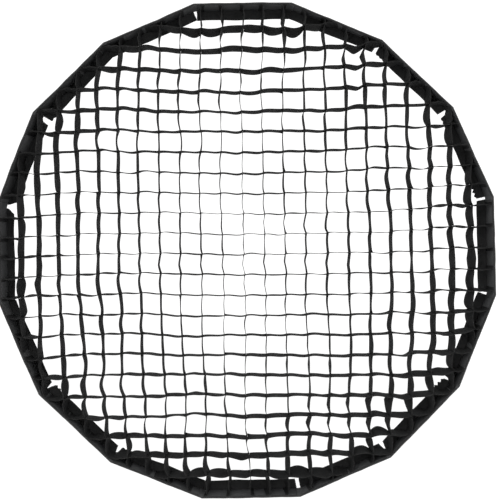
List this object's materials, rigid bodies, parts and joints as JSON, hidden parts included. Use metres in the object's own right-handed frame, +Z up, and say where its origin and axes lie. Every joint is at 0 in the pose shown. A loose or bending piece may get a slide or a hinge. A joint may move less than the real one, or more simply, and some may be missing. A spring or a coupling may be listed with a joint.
{
  "type": "softbox honeycomb grid",
  "caption": "Soft egg-crate grid of interlocked fabric strips in a sixteen-sided fabric rim with fold-in hook-tape flaps, for the front of a softbox.",
  "frame": {"origin": "centre of the rear plane, where the hook tapes meet the softbox's lip", "axes": "+Z up, +Y along the light's axis towards the softbox, so the front faces -Y; +X to the right seen from the front"},
  "size_m": [1.2, 0.0573, 1.2],
  "materials": {
    "strip_fabric": "matt black doubled polyester",
    "rim_fabric": "matt black woven polyester",
    "binding_tape": "ribbed black binding tape",
    "flap_fabric": "matt black woven polyester",
    "hook_tape": "black nylon hooks"
  },
  "bodies": {
    "grid": {"upright_strip_centre": "strip_fabric", "upright_strips_01": "strip_fabric", "upright_strips_02": "strip_fabric", "upright_strips_03": "strip_fabric", "upright_strips_04": "strip_fabric", "upright_strips_05": "strip_fabric", "upright_strips_06": "strip_fabric", "upright_strips_07": "strip_fabric", "upright_strips_08": "strip_fabric", "upright_strips_09": "strip_fabric", "upright_strips_10": "strip_fabric", "upright_strips_11": "strip_fabric", "cross_strip_centre": "strip_fabric", "cross_strips_01": "strip_fabric", "cross_strips_02": "strip_fabric", "cross_strips_03": "strip_fabric", "cross_strips_04": "strip_fabric", "cross_strips_05": "strip_fabric", "cross_strips_06": "strip_fabric", "cross_strips_07": "strip_fabric", "cross_strips_08": "strip_fabric", "cross_strips_09": "strip_fabric", "cross_strips_10": "strip_fabric", "cross_strips_11": "strip_fabric", "rim_band_panels": "rim_fabric", "front_edge_binding": "binding_tape"},
    "flap_01": {"mounting_flap_01": "flap_fabric", "hook_tape_01": "hook_tape"},
    "flap_02": {"mounting_flap_02": "flap_fabric", "hook_tape_02": "hook_tape"},
    "flap_03": {"mounting_flap_03": "flap_fabric", "hook_tape_03": "hook_tape"},
    "flap_04": {"mounting_flap_04": "flap_fabric", "hook_tape_04": "hook_tape"},
    "flap_05": {"mounting_flap_05": "flap_fabric", "hook_tape_05": "hook_tape"},
    "flap_06": {"mounting_flap_06": "flap_fabric", "hook_tape_06": "hook_tape"},
    "flap_07": {"mounting_flap_07": "flap_fabric", "hook_tape_07": "hook_tape"},
    "flap_08": {"mounting_flap_08": "flap_fabric", "hook_tape_08": "hook_tape"},
    "flap_09": {"mounting_flap_09": "flap_fabric", "hook_tape_09": "hook_tape"},
    "flap_10": {"mounting_flap_10": "flap_fabric", "hook_tape_10": "hook_tape"},
    "flap_11": {"mounting_flap_11": "flap_fabric", "hook_tape_11": "hook_tape"},
    "flap_12": {"mounting_flap_12": "flap_fabric", "hook_tape_12": "hook_tape"},
    "flap_13": {"mounting_flap_13": "flap_fabric", "hook_tape_13": "hook_tape"},
    "flap_14": {"mounting_flap_14": "flap_fabric", "hook_tape_14": "hook_tape"},
    "flap_15": {"mounting_flap_15": "flap_fabric", "hook_tape_15": "hook_tape"},
    "flap_16": {"mounting_flap_16": "flap_fabric", "hook_tape_16": "hook_tape"}
  },
  "joints": [
    {"name": "flap_01_fold", "type": "hinge", "parent": "grid", "child": "flap_01", "pos_m": [0, -0.0022, 0.5984], "axis": [1, 0, 0], "range_deg": [0, 180]},
    {"name": "flap_02_fold", "type": "hinge", "parent": "grid", "child": "flap_02", "pos_m": [0.229, -0.0022, 0.55285], "axis": [0.9239, 0, -0.3827], "range_deg": [0, 180]},
    {"name": "flap_03_fold", "type": "hinge", "parent": "grid", "child": "flap_03", "pos_m": [0.42313, -0.0022, 0.42313], "axis": [0.7071, 0, -0.7071], "range_deg": [0, 180]},
    {"name": "flap_04_fold", "type": "hinge", "parent": "grid", "child": "flap_04", "pos_m": [0.55285, -0.0022, 0.229], "axis": [0.3827, 0, -0.9239], "range_deg": [0, 180]},
    {"name": "flap_05_fold", "type": "hinge", "parent": "grid", "child": "flap_05", "pos_m": [0.5984, -0.0022, 0], "axis": [0, 0, -1], "range_deg": [0, 180]},
    {"name": "flap_06_fold", "type": "hinge", "parent": "grid", "child": "flap_06", "pos_m": [0.55285, -0.0022, -0.229], "axis": [-0.3827, 0, -0.9239], "range_deg": [0, 180]},
    {"name": "flap_07_fold", "type": "hinge", "parent": "grid", "child": "flap_07", "pos_m": [0.42313, -0.0022, -0.42313], "axis": [-0.7071, 0, -0.7071], "range_deg": [0, 180]},
    {"name": "flap_08_fold", "type": "hinge", "parent": "grid", "child": "flap_08", "pos_m": [0.229, -0.0022, -0.55285], "axis": [-0.9239, 0, -0.3827], "range_deg": [0, 180]},
    {"name": "flap_09_fold", "type": "hinge", "parent": "grid", "child": "flap_09", "pos_m": [0, -0.0022, -0.5984], "axis": [-1, 0, 0], "range_deg": [0, 180]},
    {"name": "flap_10_fold", "type": "hinge", "parent": "grid", "child": "flap_10", "pos_m": [-0.229, -0.0022, -0.55285], "axis": [-0.9239, 0, 0.3827], "range_deg": [0, 180]},
    {"name": "flap_11_fold", "type": "hinge", "parent": "grid", "child": "flap_11", "pos_m": [-0.42313, -0.0022, -0.42313], "axis": [-0.7071, 0, 0.7071], "range_deg": [0, 180]},
    {"name": "flap_12_fold", "type": "hinge", "parent": "grid", "child": "flap_12", "pos_m": [-0.55285, -0.0022, -0.229], "axis": [-0.3827, 0, 0.9239], "range_deg": [0, 180]},
    {"name": "flap_13_fold", "type": "hinge", "parent": "grid", "child": "flap_13", "pos_m": [-0.5984, -0.0022, 0], "axis": [0, 0, 1], "range_deg": [0, 180]},
    {"name": "flap_14_fold", "type": "hinge", "parent": "grid", "child": "flap_14", "pos_m": [-0.55285, -0.0022, 0.229], "axis": [0.3827, 0, 0.9239], "range_deg": [0, 180]},
    {"name": "flap_15_fold", "type": "hinge", "parent": "grid", "child": "flap_15", "pos_m": [-0.42313, -0.0022, 0.42313], "axis": [0.7071, 0, 0.7071], "range_deg": [0, 180]},
    {"name": "flap_16_fold", "type": "hinge", "parent": "grid", "child": "flap_16", "pos_m": [-0.229, -0.0022, 0.55285], "axis": [0.9239, 0, 0.3827], "range_deg": [0, 180]}
  ]
}
